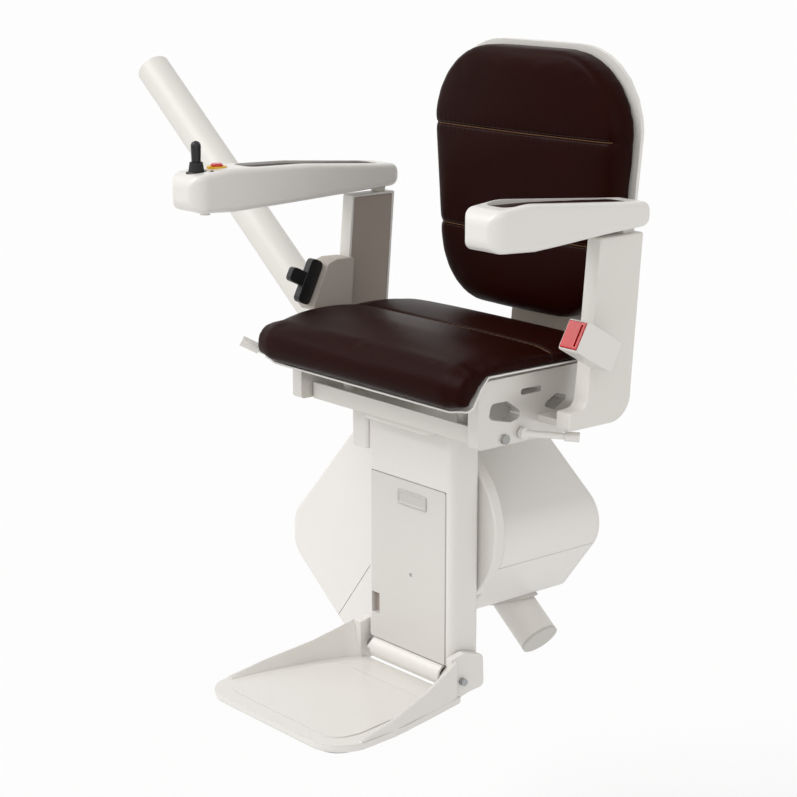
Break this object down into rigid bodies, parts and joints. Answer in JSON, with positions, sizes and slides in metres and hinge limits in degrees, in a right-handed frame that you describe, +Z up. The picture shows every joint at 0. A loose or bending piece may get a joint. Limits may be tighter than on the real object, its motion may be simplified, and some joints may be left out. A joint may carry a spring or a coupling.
{
  "type": "stairlift chair",
  "caption": "Stairlift on an inclined tube rail: folding padded seat and arms, swivel column, lap belt, joystick, stop button and folding footrest.",
  "frame": {"origin": "point where the rail tube's axis crosses the chair's centre plane", "axes": "+Z up, -Y the way the sitter faces, +X the sitter's left; the rail climbs towards -X"},
  "size_m": [1.2182, 0.5285, 0.8846],
  "materials": {
    "white_paint": "powder coat, satin",
    "pale_plastic": "moulded, satin gloss",
    "grey_plastic": "moulded, fine grain",
    "light_grey_plastic": "moulded, fine grain",
    "black_plastic": "moulded, fine grain",
    "leather": "smooth upholstery leather",
    "cast_metal": "die cast, clear coated",
    "steel": "bright drawn",
    "dark_steel": "black oxide and paint",
    "rubber": "moulded",
    "red_plastic": "moulded, polished",
    "yellow_plastic": "moulded",
    "webbing": "woven",
    "badge_foil": "satin, blank",
    "wheel_nylon": "cast nylon"
  },
  "bodies": {
    "rail": {"rail_tube": "white_paint", "rail_rack": "steel", "rail_end_cap": "light_grey_plastic"},
    "carriage": {"main_cover": "pale_plastic", "lower_cover": "pale_plastic", "rear_cover": "grey_plastic", "rail_wiper": "light_grey_plastic", "carriage_frame": "dark_steel", "hub_bearing": "steel", "roller_axles": "steel", "drive_gearbox": "dark_steel", "drive_motor": "dark_steel", "battery_pack": "black_plastic", "levelling_motor": "dark_steel"},
    "upper_roller_1": {"upper_roller_1": "wheel_nylon"},
    "upper_roller_2": {"upper_roller_2": "wheel_nylon"},
    "lower_roller": {"lower_roller": "wheel_nylon"},
    "pinion": {"drive_pinion": "steel"},
    "column": {"column_cover": "pale_plastic", "front_panel": "pale_plastic", "blank_badge": "badge_foil", "column_frame": "white_paint", "swivel_drive_cover": "pale_plastic", "hub_disc": "white_paint", "hub_shaft": "steel", "hinge_barrel": "light_grey_plastic", "footrest_pin": "steel"},
    "footrest": {"footplate": "white_paint", "tread_mat": "light_grey_plastic", "safety_edge": "grey_plastic"},
    "seat_frame": {"swivel_plate": "white_paint", "subframe": "white_paint", "side_bracket_left": "cast_metal", "side_bracket_right": "cast_metal", "upright_left": "white_paint", "upright_right": "white_paint", "upright_panels": "light_grey_plastic", "seat_hinge_pins": "steel", "arm_hinge_pins": "steel", "bracket_bolts": "dark_steel", "back_cushion": "leather", "back_shell": "pale_plastic", "back_bracket": "white_paint", "belt_retractor": "pale_plastic", "buckle_body": "pale_plastic"},
    "seat": {"seat_pan": "white_paint", "seat_cushion": "leather"},
    "arm_left": {"arm_left": "pale_plastic", "arm_pad_left": "leather"},
    "arm_right": {"arm_right": "pale_plastic", "arm_pad_right": "leather", "stop_ring": "yellow_plastic"},
    "joystick": {"joystick": "black_plastic", "joystick_boot": "rubber"},
    "stop_button": {"stop_button": "red_plastic"},
    "belt": {"belt_tongue": "black_plastic", "belt_webbing": "webbing"},
    "buckle_button": {"buckle_button": "red_plastic"},
    "swivel_lever": {"swivel_lever": "pale_plastic"},
    "release_lever": {"release_lever": "pale_plastic"}
  },
  "joints": [
    {"name": "carriage_travel", "type": "slide", "parent": "rail", "child": "carriage", "axis": [-0.788, 0, 0.6157], "range_m": [-0.04, 0.7]},
    {"name": "upper_roller_1_spin", "type": "hinge", "parent": "carriage", "child": "upper_roller_1", "pos_m": [-0.00271, 0, 0.0615], "axis": [0, 1, 0], "range_deg": [-2233.2, 132.3]},
    {"name": "upper_roller_2_spin", "type": "hinge", "parent": "carriage", "child": "upper_roller_2", "pos_m": [-0.15243, 0, 0.17848], "axis": [0, 1, 0], "range_deg": [-2233.2, 132.3]},
    {"name": "lower_roller_spin", "type": "hinge", "parent": "carriage", "child": "lower_roller", "pos_m": [-0.12691, 0, 0.02923], "axis": [0, 1, 0], "range_deg": [-81.4, 1341.9]},
    {"name": "pinion_spin", "type": "hinge", "parent": "carriage", "child": "pinion", "pos_m": [-0.17463, 0, 0.05586], "axis": [0, 1, 0], "range_deg": [-100.5, 1676.1]},
    {"name": "seat_levelling", "type": "hinge", "parent": "carriage", "child": "column", "pos_m": [0, -0.133, 0.147], "axis": [0, 1, 0], "range_deg": [-10, 38]},
    {"name": "footrest_fold", "type": "hinge", "parent": "column", "child": "footrest", "pos_m": [0, -0.19, -0.05], "axis": [-1, 0, 0], "range_deg": [0, 88]},
    {"name": "seat_swivel", "type": "hinge", "parent": "column", "child": "seat_frame", "pos_m": [0, -0.17, 0.297], "axis": [0, 0, 1], "range_deg": [-90, 90]},
    {"name": "seat_fold", "type": "hinge", "parent": "seat_frame", "child": "seat", "pos_m": [0, -0.05, 0.378], "axis": [-1, 0, 0], "range_deg": [0, 64]},
    {"name": "arm_left_fold", "type": "hinge", "parent": "seat_frame", "child": "arm_left", "pos_m": [0.251, -0.043, 0.597], "axis": [-1, 0, 0], "range_deg": [0, 85]},
    {"name": "arm_right_fold", "type": "hinge", "parent": "seat_frame", "child": "arm_right", "pos_m": [-0.251, -0.043, 0.597], "axis": [-1, 0, 0], "range_deg": [0, 85]},
    {"name": "joystick_tilt", "type": "hinge", "parent": "arm_right", "child": "joystick", "pos_m": [-0.251, -0.364, 0.618], "axis": [0, 1, 0], "range_deg": [-15, 15], "stiffness_Nm_per_rad": 1.2},
    {"name": "stop_press", "type": "slide", "parent": "arm_right", "child": "stop_button", "axis": [0, 0, -1], "range_m": [0, 0.004], "stiffness_N_per_m": 800},
    {"name": "belt_pull", "type": "slide", "parent": "seat_frame", "child": "belt", "axis": [0, -0.8985, 0.4391], "range_m": [0, 0.035]},
    {"name": "buckle_press", "type": "slide", "parent": "seat_frame", "child": "buckle_button", "axis": [0, 0.8671, -0.4981], "range_m": [0, 0.0025], "stiffness_N_per_m": 800},
    {"name": "swivel_lever_turn", "type": "hinge", "parent": "seat_frame", "child": "swivel_lever", "pos_m": [0.1996, -0.17, 0.316], "axis": [1, 0, 0], "range_deg": [-20, 0], "stiffness_Nm_per_rad": 3},
    {"name": "release_lever_turn", "type": "hinge", "parent": "seat_frame", "child": "release_lever", "pos_m": [-0.1996, -0.21, 0.33], "axis": [1, 0, 0], "range_deg": [-20, 20], "stiffness_Nm_per_rad": 3}
  ],
  "couplings": [
    {"joint": "upper_roller_1_spin", "follows": "carriage_travel", "rad_per_m": -55.556},
    {"joint": "upper_roller_2_spin", "follows": "carriage_travel", "rad_per_m": -55.556},
    {"joint": "lower_roller_spin", "follows": "carriage_travel", "rad_per_m": 33.333},
    {"joint": "pinion_spin", "follows": "carriage_travel", "rad_per_m": 41.667}
  ]
}
